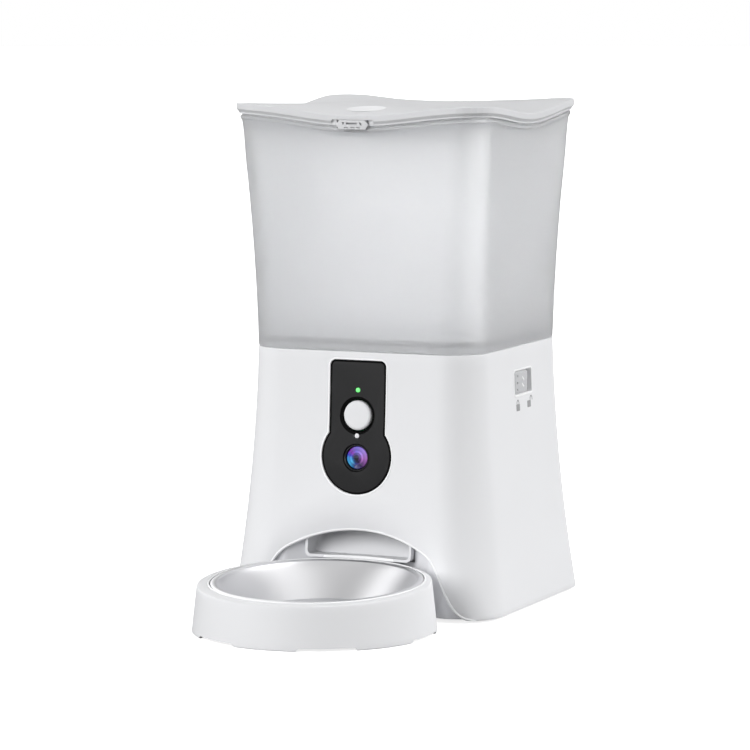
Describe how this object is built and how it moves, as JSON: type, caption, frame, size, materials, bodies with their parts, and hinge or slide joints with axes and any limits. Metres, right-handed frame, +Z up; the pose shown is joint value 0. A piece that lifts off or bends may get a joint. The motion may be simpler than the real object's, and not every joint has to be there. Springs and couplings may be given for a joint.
{
  "type": "automatic pet feeder",
  "caption": "Automatic pet feeder: waisted tower with lift-off frosted hopper and lid, rotor feed, front control panel with camera, chute, and steel bowl in a slide-in tray.",
  "frame": {"origin": "on the surface it stands on, under the middle of the whole outline with the tray pushed in", "axes": "+Z up; the feeder faces -Y, the side of the bowl; +X is to the right when looking at its front"},
  "size_m": [0.1794, 0.3046, 0.3127],
  "materials": {
    "white_abs": "satin injection-moulded white ABS, fine even gloss",
    "frosted_clear": "translucent frosted PP, light grey, see-through only as shadow",
    "black_gloss": "glossy black acrylic control panel",
    "black_matte": "matte black moulded plastic",
    "satin_steel": "satin stainless steel, fine blasted grain",
    "motor_steel": "plain zinc-plated steel",
    "grey_rubber": "grey anti-slip rubber",
    "white_silicone": "soft white silicone",
    "lens_glass": "coated camera lens, violet and blue reflections",
    "green_light": "lit green light pipe",
    "circuit_green": "green circuit board",
    "gear_nylon": "natural nylon gear",
    "cell_wrap": "dry cell in a plain dark metallic wrap",
    "spring_steel": "nickel-plated spring wire"
  },
  "bodies": {
    "base": {"base_shell": "white_abs", "base_bottom": "white_abs", "bowl_bay": "white_abs", "chute": "white_abs", "front_panel": "black_gloss", "status_light": "green_light", "sensor_window": "white_silicone", "tact_switch": "black_matte", "panel_board": "circuit_green", "camera_barrel": "black_matte", "camera_lens": "lens_glass", "motor_mount": "white_abs", "gearbox_case": "black_matte", "drive_motor": "motor_steel", "main_board": "circuit_green", "speaker": "black_matte", "dc_inlet": "black_matte", "battery_box": "white_abs", "battery_cell_1": "cell_wrap", "battery_cell_2": "cell_wrap", "battery_cell_3": "cell_wrap", "contact_spring_1": "spring_steel", "contact_spring_2": "spring_steel", "contact_spring_3": "spring_steel", "foot_front_left": "grey_rubber", "foot_front_right": "grey_rubber", "foot_rear_left": "grey_rubber", "foot_rear_right": "grey_rubber", "bottom_screw_front_left": "motor_steel", "bottom_screw_front_right": "motor_steel", "bottom_screw_rear_left": "motor_steel", "bottom_screw_rear_right": "motor_steel"},
    "button": {"feed_button": "white_abs"},
    "lock": {"lock_knob": "white_abs", "lock_bolt": "white_abs"},
    "drive": {"drive_gear": "gear_nylon"},
    "pinion": {"motor_pinion": "gear_nylon"},
    "cell_door": {"battery_door": "white_abs"},
    "tank": {"hopper": "frosted_clear", "hopper_funnel": "white_abs", "rotor_housing": "white_abs", "outlet_shield": "white_silicone", "lock_keeper": "white_abs"},
    "rotor": {"rotor": "white_silicone", "stirrer": "white_abs"},
    "lid": {"lid": "frosted_clear", "lid_gasket": "white_silicone", "latch_pin": "motor_steel", "desiccant_cup": "white_abs"},
    "latch": {"lid_latch": "frosted_clear"},
    "desiccant_twist": {"desiccant_cover": "white_abs"},
    "tray": {"bowl_tray": "white_abs"},
    "bowl": {"steel_bowl": "satin_steel"}
  },
  "joints": [
    {"name": "button_press", "type": "slide", "parent": "base", "child": "button", "axis": [0, 0.9984, -0.057], "range_m": [0, 0.0012], "stiffness_N_per_m": 400},
    {"name": "lock_slide", "type": "slide", "parent": "base", "child": "lock", "axis": [0, 1, 0], "range_m": [0, 0.0064]},
    {"name": "tank_lift", "type": "slide", "parent": "base", "child": "tank", "axis": [0, 0, 1], "range_m": [0, 0.08]},
    {"name": "lid_lift", "type": "slide", "parent": "tank", "child": "lid", "axis": [0, 0, 1], "range_m": [0, 0.05]},
    {"name": "latch_swing", "type": "hinge", "parent": "lid", "child": "latch", "pos_m": [0, -0.02215, 0.304], "axis": [-1, 0, 0], "range_deg": [0, 40]},
    {"name": "desiccant_turn", "type": "hinge", "parent": "lid", "child": "desiccant_twist", "pos_m": [0, 0.06265, 0.2925], "axis": [0, 0, 1], "range_deg": [0, 30]},
    {"name": "rotor_spin", "type": "hinge", "parent": "tank", "child": "rotor", "pos_m": [0, 0.06265, 0.13], "axis": [0, 0, 1], "continuous": true},
    {"name": "drive_spin", "type": "hinge", "parent": "base", "child": "drive", "pos_m": [0, 0.06265, 0.1], "axis": [0, 0, 1], "continuous": true},
    {"name": "pinion_spin", "type": "hinge", "parent": "base", "child": "pinion", "pos_m": [0, 0.09265, 0.1], "axis": [0, 0, 1], "continuous": true},
    {"name": "cell_door_slide", "type": "slide", "parent": "base", "child": "cell_door", "axis": [0, 1, 0], "range_m": [0, 0.009]},
    {"name": "tray_slide", "type": "slide", "parent": "base", "child": "tray", "axis": [0, -1, 0], "range_m": [0, 0.09]},
    {"name": "bowl_lift", "type": "slide", "parent": "tray", "child": "bowl", "axis": [0, -0.6, 0.8], "range_m": [0, 0.09]}
  ],
  "couplings": [
    {"joint": "drive_spin", "follows": "rotor_spin", "ratio": 1},
    {"joint": "pinion_spin", "follows": "rotor_spin", "ratio": -1.4}
  ]
}
